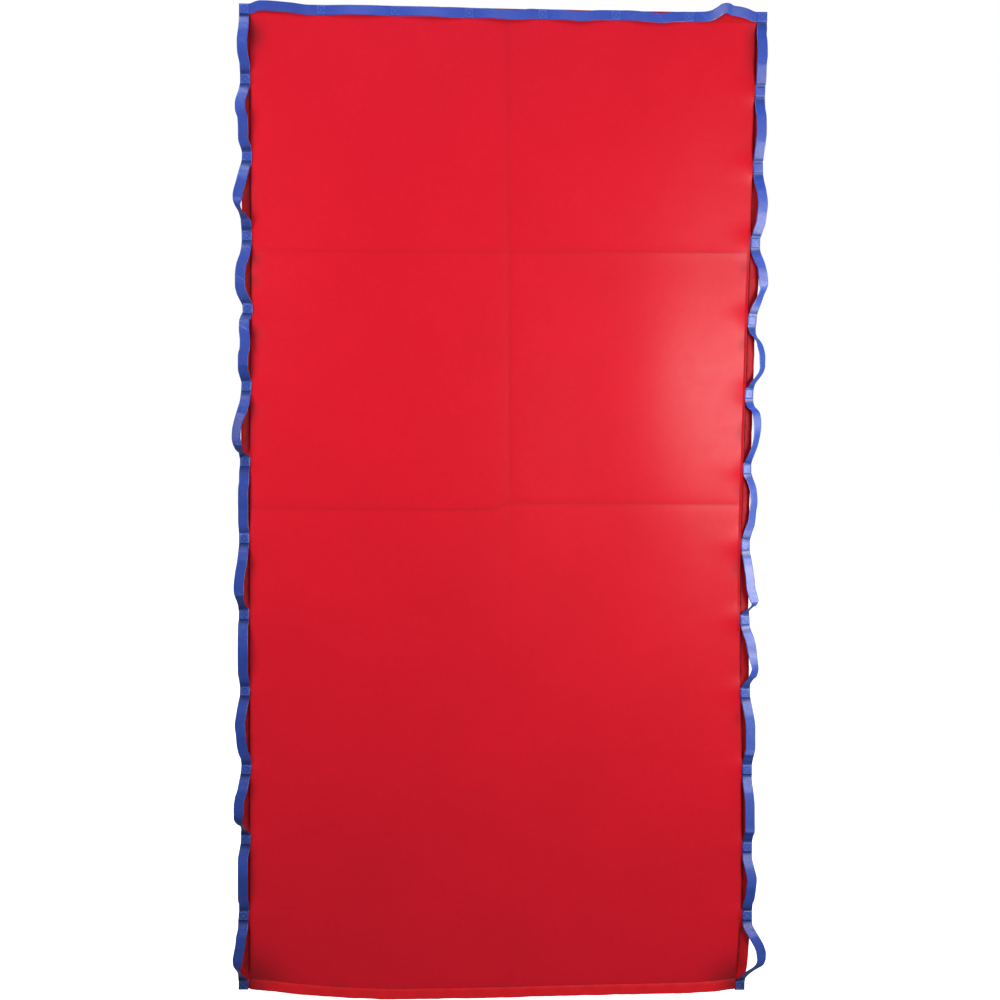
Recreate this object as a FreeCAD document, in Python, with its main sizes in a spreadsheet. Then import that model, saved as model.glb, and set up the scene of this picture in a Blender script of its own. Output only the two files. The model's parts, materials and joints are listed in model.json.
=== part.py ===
import FreeCAD, Part
import os

import Sketcher

# A fire blanket that hangs from its top edge: a tall coated sheet with a folded hem all round, and a webbing
# strap tacked along its sides and top, so that the slack between two tacks is a hand loop. The sheet has three
# set-in creases, where it folds into a stack of four panels.
#
# The origin is the middle of the top edge, in the sheet's mid plane. X is to the right as the front is seen,
# -Y is the front and +Z is up. Lengths are in millimetres and angles in degrees.

os.makedirs("parts", exist_ok=True)
doc = FreeCAD.newDocument("fire_blanket")
sheet = doc.addObject("Spreadsheet::Sheet", "Sizes")

DIMENSIONS = {
    "sheet_thickness": 0.6,
    "hem_thickness": 1.8,
    "face_half_width": 500,
    "side_hem_width": 16,
    "top_hem_height": 20,
    "bottom_hem_height": 20,
    "corner_height": 1974,
    "bottom_sag": 18,
    "crease_drop_1": 480,
    "crease_drop_2": 989,
    "crease_drop_3": 1487,
    "crease_gap": 1,
    "strap_width": 20,
    "strap_thickness": 1.5,
    "tack_length": 20,
    "end_tack_pitch": 142,
    "side_tack_pitch": 151.8,
    "loop_end_gap": 0.4,
    "loop_axis_depth": 6,
    "loop_arch": 13,
    "creased_loop_arch": 9,
    "flat_loop_arch": 2.5,
    "neck_half_width": 3,
    "neck_length": 12,
    "shoulder_length": 24,
    "standing_loop_bow": 9,
    "drooping_loop_bow": 4,
}

# How far each side loop bows outwards, from the top loop down.
LEFT_BOWS = [9, 13, 17, 13, 8, 20, 4, 12, 5, 10, 13, 6, 16]
RIGHT_BOWS = [4, 5, 10, 20, 21, 18, 15, 19, 18, 9, 5, 8, 28]

PANELS = 4
SIDE_LOOPS = 13
TOP_LOOPS = 7
# The side loops that cross a crease, each with the number of that crease and the dimension of its arch.
CREASED_LOOPS = {4: (1, "creased_loop_arch"), 7: (2, "flat_loop_arch"), 10: (3, "creased_loop_arch")}


class Size:
    """A length: its value now, and the expression that binds it to the sheet."""

    def __init__(self, value, text):
        self.value = value
        self.text = text

    def __add__(self, other):
        other = as_size(other)
        return Size(self.value + other.value, f"({self.text} + {other.text})")

    def __sub__(self, other):
        other = as_size(other)
        return Size(self.value - other.value, f"({self.text} - {other.text})")

    def __mul__(self, other):
        other = as_size(other)
        return Size(self.value * other.value, f"({self.text} * {other.text})")

    def __truediv__(self, other):
        other = as_size(other)
        return Size(self.value / other.value, f"({self.text} / {other.text})")

    def __neg__(self):
        return self * -1


def as_size(number):
    if isinstance(number, Size):
        return number
    return Size(number, f"({number})")


def fill_sheet():
    """Writes every driving dimension into a cell of its own, and gives back the cells as sizes by name."""
    cells = dict(DIMENSIONS)
    for side, bows in (("left", LEFT_BOWS), ("right", RIGHT_BOWS)):
        for number, bow in enumerate(bows, start=1):
            cells[f"{side}_bow_{number:02d}"] = bow
    for row, (alias, number) in enumerate(cells.items(), start=1):
        sheet.set(f"A{row}", alias.replace("_", " "))
        sheet.set(f"B{row}", str(number))
        sheet.setAlias(f"B{row}", alias)
    doc.recompute()
    return {alias: Size(number, f"Sizes.{alias}") for alias, number in cells.items()}


size = fill_sheet()
face = size["face_half_width"]
strap_half = size["strap_width"] / 2
tack_half = size["tack_length"] / 2
hem_front = size["hem_thickness"] / 2
strap_line = face + strap_half
top_tack_pitch = strap_line * 2 / TOP_LOOPS
top_chord = top_tack_pitch - size["tack_length"]
half_gap = size["crease_gap"] / 2
nodes = []


def keep(piece, label):
    """Gives a finished sub-part the label that names its file."""
    piece.Label = label
    nodes.append(piece)


def crease_drop(number):
    """How far below the top edge a crease lies; 0 is the top edge itself."""
    if number == 0:
        return as_size(0)
    return size[f"crease_drop_{number}"]


def side_tack_drop(number):
    """How far below the top edge the middle of a side tack lies, tack 1 being the corner's. The first and the
    last pitch are a little shorter than the others."""
    drop = tack_half
    for pitch in range(1, number):
        drop = drop + (size["end_tack_pitch"] if pitch in (1, SIDE_LOOPS) else size["side_tack_pitch"])
    return drop


# ---- boxes -------------------------------------------------------------------------------------------------


def box(name, left, back, top, width, depth, height):
    """A box from its left edge, its back face and its top, going right, forwards and down."""
    piece = doc.addObject("Part::Box", name)
    bound = {
        "Length": width,
        "Width": depth,
        "Height": height,
        "Placement.Base.x": left,
        "Placement.Base.y": back - depth,
        "Placement.Base.z": top - height,
    }
    for property_name, length in bound.items():
        piece.setExpression(property_name, length.text)
    return piece


def panel_top(panel):
    """The top of a folding panel: the top edge, or just below the crease above it."""
    return as_size(0) if panel == 1 else -crease_drop(panel - 1) - half_gap


def panel_foot(panel):
    """The foot of a folding panel: just above the crease below it, or the lower corners."""
    return -size["corner_height"] if panel == PANELS else -crease_drop(panel) + half_gap


def sheet_panel(panel):
    """The sheet between the stitch lines and between two creases, or the top hem and the first crease."""
    top = -size["top_hem_height"] if panel == 1 else panel_top(panel)
    back = size["sheet_thickness"] / 2
    height = top - panel_foot(panel)
    piece = box(f"SheetPanel{panel}", -face, back, top, face * 2, size["sheet_thickness"], height)
    keep(piece, f"sheet_panel_{panel}")


def side_hem(side, panel):
    """The folded hem beside one panel, from the stitch line out to the cut edge."""
    top = panel_top(panel)
    height = top - panel_foot(panel)
    left = face if side == "right" else -face - size["side_hem_width"]
    name = f"{side.title()}Hem{panel}"
    piece = box(name, left, hem_front, top, size["side_hem_width"], size["hem_thickness"], height)
    keep(piece, f"{side}_hem_{panel}")


def top_hem():
    piece = box(
        "TopHem", -face, hem_front, as_size(0), face * 2, size["hem_thickness"], size["top_hem_height"]
    )
    keep(piece, "top_hem")


def strap_square(name, middle_x, layer, drop):
    """The strap where one tack holds it down; layer 0 lies on the hem and layer 1 on another strap."""
    back = -hem_front - size["strap_thickness"] * layer
    left = middle_x - strap_half
    top = -drop + tack_half
    return box(name, left, back, top, size["strap_width"], size["strap_thickness"], size["tack_length"])


def grouped(name, label, pieces):
    """Separate solids that share one node."""
    group = doc.addObject("Part::Compound", name)
    group.Links = pieces
    keep(group, label)


def tack_panel(number):
    """The panel that a side tack is on."""
    drop = side_tack_drop(number).value
    return 1 + sum(drop > crease_drop(crease).value for crease in range(1, PANELS))


def side_tacks(panel):
    """The tacked squares of both side straps on one panel."""
    numbers = [n for n in range(1, SIDE_LOOPS + 2) if tack_panel(n) == panel]
    squares = []
    for number in numbers:
        for side, middle in (("Left", -strap_line), ("Right", strap_line)):
            squares.append(strap_square(f"{side}Tack{number}", middle, 0, side_tack_drop(number)))
    grouped(f"SideTacks{panel}", f"side_tacks_{panel}", squares)


def top_tacks():
    """The tacked squares of the top strap; the two at the corners lie over the side straps."""
    squares = []
    for number in range(TOP_LOOPS + 1):
        middle = -strap_line + top_tack_pitch * number
        layer = 1 if number in (0, TOP_LOOPS) else 0
        squares.append(strap_square(f"TopTack{number + 1}", middle, layer, tack_half))
    grouped("TopTacks", "top_tacks", squares)


# ---- outlines with arcs --------------------------------------------------------------------------------------


def sketch_on(body, role, name):
    """An empty sketch on one of the body's own origin planes."""
    sketch = body.newObject("Sketcher::SketchObject", name)
    plane = next(f for f in body.Origin.OriginFeatures if f.Role == role)
    sketch.AttachmentSupport = [(plane, "")]
    sketch.MapMode = "FlatFace"
    return sketch


def draw(sketch, corners, arcs):
    """A closed outline through corners, in order. arcs gives, for the edge that starts at a corner, the point
    halfway along it and its radius; every other edge is straight."""
    points = [FreeCAD.Vector(across.value, up.value, 0) for across, up in corners]
    first_ends = []
    for i, start in enumerate(points):
        end = points[(i + 1) % len(points)]
        edge, first_end = Part.LineSegment(start, end), 1
        if i in arcs:
            across, up, radius = arcs[i]
            edge, first_end = arc(start, FreeCAD.Vector(across.value, up.value, 0), end)
        sketch.addGeometry(edge, False)
        first_ends.append(first_end)
    for i, (across, up) in enumerate(corners):
        following = (i + 1) % len(points)
        joined = (i, 3 - first_ends[i], following, first_ends[following])
        sketch.addConstraint(Sketcher.Constraint("Coincident", *joined))
        for kind, length in (("DistanceX", across), ("DistanceY", up)):
            from_origin = (kind, -1, 1, i, first_ends[i], length.value)
            index = sketch.addConstraint(Sketcher.Constraint(*from_origin))
            sketch.setExpression(f"Constraints[{index}]", length.text)
    for i, (across, up, radius) in arcs.items():
        index = sketch.addConstraint(Sketcher.Constraint("Radius", i, radius.value))
        sketch.setExpression(f"Constraints[{index}]", radius.text)


def arc(start, middle, end):
    """An arc, and which of its two ends is the start point: a sketch takes every arc as anticlockwise."""
    if (middle - start).cross(end - start).z > 0:
        return Part.Arc(start, middle, end), 1
    return Part.Arc(end, middle, start), 2


def padded_body(name, role, corners, arcs, length):
    """A body whose outline is padded by half of length to each side of the plane it is drawn on."""
    body = doc.addObject("PartDesign::Body", name)
    sketch = sketch_on(body, role, f"{name}Outline")
    draw(sketch, corners, arcs)
    pad = body.newObject("PartDesign::Pad", f"{name}Pad")
    pad.Profile = sketch
    pad.setExpression("Length", length.text)
    pad.Midplane = True
    return body


def arc_radius(half_chord, rise):
    """The radius of an arc with that half chord and that rise at its middle."""
    return (half_chord * half_chord + rise * rise) / (rise * 2)


def last_panel():
    """The lowest panel, whose lower edge hangs a little lower in the middle than at the corners."""
    sag = size["bottom_sag"]
    top = panel_top(PANELS)
    low = -size["corner_height"] + size["bottom_hem_height"]
    corners = [(-face, top), (-face, low), (face, low), (face, top)]
    arcs = {1: (as_size(0), low - sag, arc_radius(face, sag))}
    body = padded_body("SheetPanel4", "XZ_Plane", corners, arcs, size["sheet_thickness"])
    keep(body, "sheet_panel_4")


def bottom_hem():
    """The hem along the lower edge, an even band with the same sag."""
    sag = size["bottom_sag"]
    low = -size["corner_height"]
    high = low + size["bottom_hem_height"]
    radius = arc_radius(face, sag)
    corners = [(-face, high), (-face, low), (face, low), (face, high)]
    arcs = {1: (as_size(0), low - sag, radius), 3: (as_size(0), high - sag, radius)}
    body = padded_body("BottomHem", "XZ_Plane", corners, arcs, size["hem_thickness"])
    keep(body, "bottom_hem")


# ---- hand loops ----------------------------------------------------------------------------------------------


def loop_band(name, chord, bow, arch):
    """The slack strap between two tacks, along Z about its own origin, where its two tacks would be in line.
    It arches forwards and bows towards +X, and is narrow at both ends, where it turns on the tacks."""
    half = chord / 2 - size["loop_end_gap"]
    neck = half - size["neck_length"]
    shoulder = half - size["shoulder_length"]
    neck_bow = bow * bow_share(neck, half)
    shoulder_bow = bow * bow_share(shoulder, half)
    narrow = size["neck_half_width"]
    outer = [
        (narrow, half),
        (neck_bow + narrow, neck),
        (shoulder_bow + strap_half, shoulder),
    ]
    inner = [
        (-narrow, half),
        (neck_bow - narrow, neck),
        (shoulder_bow - strap_half, shoulder),
    ]
    down_outer = [(across, -up) for across, up in reversed(outer)]
    down_inner = [(across, -up) for across, up in inner]
    corners = outer + down_outer + down_inner + list(reversed(inner))
    radius = arc_radius(shoulder, bow - shoulder_bow)
    arcs = {
        2: (bow + strap_half, as_size(0), radius),
        8: (bow - strap_half, as_size(0), radius),
    }
    plan = padded_body(f"{name}Plan", "XZ_Plane", corners, arcs, (arch + size["strap_width"]) * 2)
    half_strap = size["strap_thickness"] / 2
    bend = arc_radius(half, arch)
    edges = [(-half_strap, half), (-half_strap, -half), (half_strap, -half), (half_strap, half)]
    bends = {
        0: (-arch - half_strap, as_size(0), bend),
        2: (half_strap - arch, as_size(0), bend),
    }
    side = padded_body(f"{name}Side", "YZ_Plane", edges, bends, (bow + size["strap_width"]) * 2)
    band = doc.addObject("Part::MultiCommon", f"{name}Band")
    band.Shapes = [plan, side]
    return band


def bow_share(height, half):
    """The share of its full bow that a loop has at a height above its middle."""
    return as_size(1) - height * height / (half * half)


def place(piece, x, depth, z, axis, angle):
    """Turns a piece about its own origin, then moves that to x, a depth in front of the mid plane, and z."""
    piece.Placement = FreeCAD.Placement(FreeCAD.Vector(), FreeCAD.Rotation(axis, angle))
    piece.setExpression("Placement.Base.x", x.text)
    piece.setExpression("Placement.Base.y", (-depth).text)
    piece.setExpression("Placement.Base.z", z.text)


def side_loop(side, number):
    """One hand loop of a side strap. A loop that crosses a crease is two pieces, one on each panel."""
    bow = size[f"{side}_bow_{number:02d}"]
    middle_z = (side_tack_drop(number) + side_tack_drop(number + 1)) / -2
    chord = side_tack_drop(number + 1) - side_tack_drop(number) - size["tack_length"]
    middle_x = strap_line if side == "right" else -strap_line
    angle = 0 if side == "right" else 180
    name = f"{side.title()}Loop{number}"
    up = FreeCAD.Vector(0, 1, 0)
    if number not in CREASED_LOOPS:
        band = loop_band(name, chord, bow, size["loop_arch"])
        place(band, middle_x, size["loop_axis_depth"], middle_z, up, angle)
        keep(band, f"{side}_loop_{number:02d}")
        return
    crease, arch_name = CREASED_LOOPS[number]
    band = loop_band(name, chord, bow, size[arch_name])
    depth = hem_front + size["strap_thickness"] / 2
    place(band, middle_x, depth, middle_z, up, angle)
    room = size["strap_width"] * 4
    crease_z = -crease_drop(crease)
    for part, top in (("upper", crease_z + half_gap + chord), ("lower", crease_z - half_gap)):
        cell = box(f"{name}{part}Cell", middle_x - room / 2, room / 2, top, room, room, chord)
        half_band = doc.addObject("Part::MultiCommon", f"{name}{part}")
        half_band.Shapes = [band, cell]
        keep(half_band, f"{side}_loop_{number:02d}_{part}")


def top_loop(number):
    """One loop of the top strap. The first and last stand up, because the blanket hangs from them, and the
    others droop over the hem."""
    stands = number in (1, TOP_LOOPS)
    bow = size["standing_loop_bow"] if stands else size["drooping_loop_bow"]
    band = loop_band(f"TopLoop{number}", top_chord, bow, size["loop_arch"])
    middle_x = -strap_line + top_tack_pitch * (number - 0.5)
    turn = -90 if stands else 90
    place(band, middle_x, size["loop_axis_depth"], -tack_half, FreeCAD.Vector(0, 1, 0), turn)
    keep(band, f"top_loop_{number}")


# ---- the whole -----------------------------------------------------------------------------------------------


def build():
    for panel in range(1, PANELS):
        sheet_panel(panel)
    last_panel()
    for panel in range(1, PANELS + 1):
        for side in ("left", "right"):
            side_hem(side, panel)
        side_tacks(panel)
    top_hem()
    bottom_hem()
    top_tacks()
    for number in range(1, SIDE_LOOPS + 1):
        for side in ("left", "right"):
            side_loop(side, number)
    for number in range(1, TOP_LOOPS + 1):
        top_loop(number)
    doc.recompute()


def check_and_write():
    for item in doc.Objects:
        bad = [word for word in ("Invalid", "Error") if word in item.State]
        if bad:
            raise RuntimeError(f"{item.Label} is {bad}")
    for piece in nodes:
        if piece.Shape.isNull() or not piece.Shape.isValid() or not piece.Shape.Solids:
            raise RuntimeError(f"{piece.Label} has no valid solid")
    for piece in nodes:
        piece.Shape.exportStep(f"parts/{piece.Label}.step")
    extent = Part.makeCompound([piece.Shape for piece in nodes]).BoundBox
    print(f"{len(nodes)} nodes, {extent.XLength:.1f} x {extent.YLength:.1f} x {extent.ZLength:.1f} mm")
    for piece in nodes:
        print(f"{piece.Label}: {len(piece.Shape.Solids)} solid(s), {piece.Shape.Volume:.1f} mm3")


build()
check_and_write()
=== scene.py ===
import json
import math

import bpy
import numpy as np
from mathutils import Matrix, Vector

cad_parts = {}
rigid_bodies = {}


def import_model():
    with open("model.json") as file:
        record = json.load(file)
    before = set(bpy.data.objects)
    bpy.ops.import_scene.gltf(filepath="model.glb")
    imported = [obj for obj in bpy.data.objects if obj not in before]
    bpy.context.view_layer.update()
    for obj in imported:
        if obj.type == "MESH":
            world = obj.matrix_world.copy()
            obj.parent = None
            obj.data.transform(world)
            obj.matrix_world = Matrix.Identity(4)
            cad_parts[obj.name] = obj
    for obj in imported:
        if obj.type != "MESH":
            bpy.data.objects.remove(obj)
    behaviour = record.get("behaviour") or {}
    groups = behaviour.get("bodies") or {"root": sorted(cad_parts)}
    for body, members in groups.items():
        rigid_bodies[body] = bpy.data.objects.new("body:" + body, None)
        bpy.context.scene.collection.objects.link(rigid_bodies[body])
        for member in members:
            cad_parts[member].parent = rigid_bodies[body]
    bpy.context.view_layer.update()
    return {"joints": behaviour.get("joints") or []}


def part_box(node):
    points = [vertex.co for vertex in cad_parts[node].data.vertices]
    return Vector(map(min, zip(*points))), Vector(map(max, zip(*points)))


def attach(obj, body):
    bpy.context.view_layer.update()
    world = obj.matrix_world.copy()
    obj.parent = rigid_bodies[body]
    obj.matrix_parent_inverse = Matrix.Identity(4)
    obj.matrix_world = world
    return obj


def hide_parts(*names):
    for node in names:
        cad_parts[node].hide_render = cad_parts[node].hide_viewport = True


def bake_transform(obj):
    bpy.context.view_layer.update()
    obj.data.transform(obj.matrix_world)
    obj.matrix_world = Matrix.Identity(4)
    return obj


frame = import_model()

# A fire blanket that hangs by its top edge: a red coated sheet with folded hems, and a blue webbing strap that is
# tacked along both sides and the top. Shapes are worked out in millimetres: X to the right, Y to the back, and
# "drop" downwards from the top edge. Points become metres where a mesh is made.

MM = 0.001


# ---- measures from the frame ----


def low(node):
    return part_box(node)[0] / MM


def high(node):
    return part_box(node)[1] / MM


SIDES = {"left": -1, "right": 1}
SIDE_LOOPS = 13
TOP_LOOPS = 7
CREASED = (4, 7, 10)
FACE = high("sheet_panel_1").x
HEM_WIDTH = high("right_hem_1").x - FACE
STRAP_WIDTH = high("top_tacks").z - low("top_tacks").z
STRAP_X = FACE + STRAP_WIDTH / 2
CORNER_DROP = -low("right_hem_4").z
JOINTS = {joint["name"]: joint for joint in frame["joints"]}
HINGES = [JOINTS[name]["pos_m"][2] / -MM for name in ("fold_upper", "fold_middle", "fold_lower")]
SHEET_HALF = high("sheet_panel_1").y
HEM_HALF = high("right_hem_1").y
STRAP_HALF = 0.75


def loop_nodes(side, number):
    name = f"{side}_loop_{number:02d}"
    return [f"{name}_upper", f"{name}_lower"] if number in CREASED else [name]


def tack_drops(side):
    """The middle of each tack of a side strap, between the loop above it and the loop below it."""
    spans = []
    for number in range(1, SIDE_LOOPS + 1):
        nodes = loop_nodes(side, number)
        spans.append((-high(nodes[0]).z, -low(nodes[-1]).z))
    half = STRAP_WIDTH / 2
    drops = [spans[0][0] - half]
    drops += [(above[1] + below[0]) / 2 for above, below in zip(spans, spans[1:])]
    return drops + [spans[-1][1] + half]


# How far each tack lies below its even place, from the top corner down: the strap is sewn on by hand and eye.
TACK_SHIFT = {
    "left": [2, -3, -4, 0, -8, -6, -8, -6, -5, -2, 5, -4, 0, 2],
    "right": [-2, 4, 2, -1, 2, -2, -2, 1, 1, -2, 3, 11, 1, 6],
}
TACKS = {
    side: [drop + shift for drop, shift in zip(tack_drops(side), TACK_SHIFT[side])]
    for side in SIDES
}


# ---- curves ----


def curve(knots, at):
    """A smooth curve through knots (position, value) that never overshoots them."""
    p = np.array([k[0] for k in knots], float)
    v = np.array([k[1] for k in knots], float)
    at = np.clip(np.asarray(at, float), p[0], p[-1])
    h, d = np.diff(p), np.diff(v) / np.diff(p)
    slope = np.zeros(len(p))
    slope[0], slope[-1] = d[0], d[-1]
    for i in range(1, len(p) - 1):
        if d[i - 1] * d[i] > 0:
            a, b = 2 * h[i] + h[i - 1], h[i] + 2 * h[i - 1]
            slope[i] = (a + b) / (a / d[i - 1] + b / d[i])
    i = np.clip(np.searchsorted(p, at, side="right") - 1, 0, len(p) - 2)
    t = (at - p[i]) / h[i]
    return (
        (2 * t**3 - 3 * t**2 + 1) * v[i]
        + (t**3 - 2 * t**2 + t) * h[i] * slope[i]
        + (3 * t**2 - 2 * t**3) * v[i + 1]
        + (t**3 - t**2) * h[i] * slope[i + 1]
    )


def bump(distance, reach):
    """1 at no distance, falling smoothly to nothing on both sides."""
    return np.exp(-((distance / reach) ** 2))


def positive(value):
    return np.clip(value, 0, None)


def fade(distance, reach):
    """1 up to no distance, and from there falling steeply, then slowly."""
    return np.exp(-positive(distance) / reach)


def knots(text):
    """Knots that are written as text: a comma parts two knots, and a space two numbers of one."""
    return [tuple(float(number) for number in knot.split()) for knot in text.split(",")]


def loops(text):
    """The knots of several loops, which a slash parts."""
    return [knots(loop) for loop in text.split("/")]


# ---- the shape of the hanging sheet ----

# How far outside its straight place each stitch line hangs, at drops down the sheet.
EDGE_OUT = {
    "left": knots("0 2, 72 3.5, 150 1.2, 300 1, 450 -1.3, 600 -2, 780 -.8, 1020 -.8, 1380 -2.4, 1790 -4.2, "
                  "1975 -4.8"),
    "right": knots("0 -2, 170 -2.3, 300 -3, 450 -4.7, 570 -7, 710 -7.8, 890 -9.9, 1050 -11.5, 1175 -10.5, "
                   "1280 -8.2, 1380 -5.5, 1480 -1, 1590 1.3, 1690 3.2, 1790 4.2, 1855 1.4, 1916 -1.5, 1975 -4.8"),
}
# How far back the sheet's margin curls at the stitch line, and how far the hem beyond it is turned, in degrees.
MARGIN_BACK = {
    "left": knots("0 1, 250 1.5, 480 2.5, 700 1.5, 1000 1, 1500 1, 1975 2.5"),
    "right": knots("0 1, 250 1.2, 420 1, 620 0, 820 0, 1000 .3, 1150 1, 1350 1, 1600 1, 1975 2"),
}
MARGIN_TURN = {
    "left": knots("0 0, 250 2, 480 4, 700 2, 1500 0, 1975 0"),
    "right": knots("0 0, 300 3, 450 9, 600 22, 750 26, 950 26, 1080 21, 1250 8, 1450 2, 1975 0"),
}
MARGIN_WIDTH = {"left": 150.0, "right": 240.0}
BELLY = knots("0 2.5, 300 4, 800 5.5, 1400 6, 1975 7")
CORNER_CURL = 10.0
TACK_LIFT = 4.6
# Dark hollows beside the seam and in the lower corners: the side, the drop, how far inside, how much painted shade
# and how wide across and down. They are shallow, and most of their darkness is painted shade in the cloth's colour.
HOLLOWS = [
    ("left", 62, 3, 0.75, 22, 26), ("left", 502, 6, 0.45, 11, 11), ("left", 545, 4, 0.4, 10, 13),
    ("left", 648, 5, 0.5, 12, 15), ("left", 726, 4, 0.25, 9, 13), ("left", 800, 4, 0.35, 10, 15),
    ("left", 1110, 4, 0.3, 10, 16), ("left", 1560, 4, 0.3, 10, 15), ("left", 1700, 4, 0.25, 10, 16),
    ("right", 60, 3, 0.5, 14, 60), ("right", 500, 6, 0.3, 12, 16), ("right", 655, 5, 0.35, 10, 14),
    ("right", 835, 4, 0.35, 9, 16), ("right", 955, 5, 0.3, 10, 14), ("right", 1110, 5, 0.4, 10, 18),
    ("right", 1420, 5, 0.3, 10, 16),
    ("left", 1955, -5, 0.78, 66, 52), ("left", 1962, 40, 0.75, 16, 11), ("right", 1962, -5, 0.8, 54, 44),
]
HOLLOW_DEPTH = 1.2
# The lower edge: drops across the sheet.
BOTTOM = knots("-520 1974, -497 1975, -384 1985.5, -300 1991.5, -215 1994, -90 1992.5, 13 1991, 218 1987, "
               "330 1985.5, 448 1982.5, 480 1979, 520 1974")
HEM_HEIGHT = 22.0
FOOT_ZONE = 240.0
# The drops of the three creases, and how far the middle one steps at the crease down the length.
UPPER_CREASE, MIDDLE_CREASE, LOWER_CREASE = 480, 988.5, 1487
CREASE_STEP = 7.5
LOWER_FAINT = 0.22
# A forward swell on the right: how deep it is, and its middle and reach across and down.
SWELL_DEPTH, SWELL_X, SWELL_DROP = 8.0, (310, 135), (760, 300)
# How far in from a seam the tacks lift the sheet, its edge curls and the lower corners curl, and how far up the
# corners do.
TACK_REACH, CURL_REACH, CORNER_REACH, CORNER_RISE = 19, 3.5, 90, 55
# A crease is a sharp line on a soft rise: for each, how high it is, how blunt its top is and how far it reaches.
CREASE_SHAPES = ((0.6, 2.0, 7.5), (0.8, 3.0, 50))
# How much painted shade darkens the cloth's colour on a crease, and how far from it.
CREASE_PAINTED_SHADE, CREASE_PAINTED_SHADE_REACH = 0.16, 3.6


def edge_x(side, drop):
    """The stitch line's place across the sheet, outwards, at a drop."""
    return FACE + curve(EDGE_OUT[side], drop)


def crease_lines(x, drop):
    """For each crease: the distance from it, how strong it is there and which way it stands (1 is a ridge towards
    the front). The middle crease has a step where the sheet was also folded down its length."""
    upper = drop - (UPPER_CREASE - 4 * x / FACE)
    middle = drop - (MIDDLE_CREASE - CREASE_STEP * np.tanh(x / 14))
    lower = drop - (LOWER_CREASE - 2 * x / FACE)
    length = x - curve(knots("0 4, 500 12, 1000 20, 1500 28, 1975 36"), drop)
    faint = curve(knots("0 .8, 850 .8, 1060 .3, 1975 .15"), drop)
    return [(upper, 1.0, 1), (middle, 1.0, -1), (lower, LOWER_FAINT, 1), (length, faint, -1)]


def tack_bumps(side, drop):
    """How near a side's tacks a drop is: 1 at the middle of a tack."""
    return sum(bump(drop - (tack - 3), 23.0) for tack in TACKS[side])


def folds(x, drop):
    """The sheet's slow, shallow hanging folds."""
    slow = 1.5 * np.sin(x / 95 + drop / 420 + 0.6) * np.sin(drop / 310 + 0.9)
    slant = 0.8 * np.sin((x + 0.6 * drop) / 70 + 2.1) * bump(drop - 1600, 520)
    upper = 0.9 * np.sin((x - 0.5 * drop) / 62 + 0.4) * bump(drop - 120, 260)
    return slow + slant + upper


def hollows(x, drop):
    """For each hollow: how much painted shade it gets, and its shape, which is 1 at its middle."""
    for side, at, deep, dark, across, down in HOLLOWS:
        inside = edge_x(side, drop) - SIDES[side] * x
        yield dark, bump(inside - deep, across) * bump(drop - at, down)


def relief(x, drop):
    """How far behind the mid plane the sheet hangs at a point."""
    back = -curve(BELLY, drop) * (1 - np.clip(np.abs(x) / FACE, 0, 1) ** 2)
    back = back - SWELL_DEPTH * bump(x - SWELL_X[0], SWELL_X[1]) * bump(drop - SWELL_DROP[0], SWELL_DROP[1])
    back = back + folds(x, drop) * np.clip((FACE - np.abs(x)) / 120, 0, 1)
    for side, sign in SIDES.items():
        inside = edge_x(side, drop) - sign * x
        share = np.clip(1 - inside / MARGIN_WIDTH[side], 0, 1.1)
        back = back + curve(MARGIN_BACK[side], drop) * share**2.4
        back = back - (TACK_LIFT * tack_bumps(side, drop) - 0.5) * fade(inside, TACK_REACH)
        back = back + 0.5 * fade(inside, CURL_REACH)
        corner = fade(inside, CORNER_REACH) * fade(CORNER_DROP - drop, CORNER_RISE)
        back = back + CORNER_CURL * corner - 0.75 * CORNER_CURL * np.sqrt(corner)
    for dark, shape in hollows(x, drop):
        back = back + HOLLOW_DEPTH * dark * shape
    for distance, strength, way in crease_lines(x, drop):
        rises = [high * fade(np.hypot(distance, blunt), reach) for high, blunt, reach in CREASE_SHAPES]
        back = back - way * strength * sum(rises)
    foot = curve(BOTTOM, x) - HEM_HEIGHT - drop
    return back + 1.2 * fade(foot, 7) * (1 + 0.5 * np.sin(x / 6.3) * np.sin(x / 17))


# ---- meshes ----


def place(name, data):
    """A new object in the scene."""
    thing = bpy.data.objects.new(name, data)
    bpy.context.scene.collection.objects.link(thing)
    return thing


def point_values(mesh, name, values):
    """A number or a vector at each point of a mesh, which its materials read by name."""
    values = np.asarray(values, np.float32)
    kind, key = ("FLOAT_VECTOR", "vector") if values.ndim == 2 else ("FLOAT", "value")
    mesh.attributes.new(name, kind, "POINT").data.foreach_set(key, values.ravel())


def hung(points):
    """The place on its cloth, in metres, of each point of a piece that hangs almost flat."""
    return points[:, [0, 2, 1]] * MM


def both_faces(x, front, behind, drop):
    """The points of a cloth's front, row by row, and then those of its back."""
    return np.concatenate([np.stack([x, y, -drop], -1).reshape(-1, 3) for y in (front, behind)])


def new_piece(name, points, faces, materials, cloth, shade, kinds=None, normals=None):
    """A mesh object from points in millimetres. cloth is the place of each point on its cloth before it was hung,
    in metres; shade is painted shade, 1 where the colour is darkened most as shadow would darken it; kinds gives
    each face's material."""
    mesh = bpy.data.meshes.new(name)
    mesh.from_pydata((np.asarray(points) * MM).tolist(), [], faces)
    for material in materials:
        mesh.materials.append(material)
    if kinds is not None:
        mesh.polygons.foreach_set("material_index", np.asarray(kinds, np.int32))
    point_values(mesh, "cloth", cloth)
    point_values(mesh, "shade", shade)
    mesh.polygons.foreach_set("use_smooth", np.ones(len(mesh.polygons), bool))
    mesh.update()
    if normals is not None:
        mesh.normals_split_custom_set_from_vertices(np.asarray(normals, float).tolist())
    return place(name, mesh)


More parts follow.
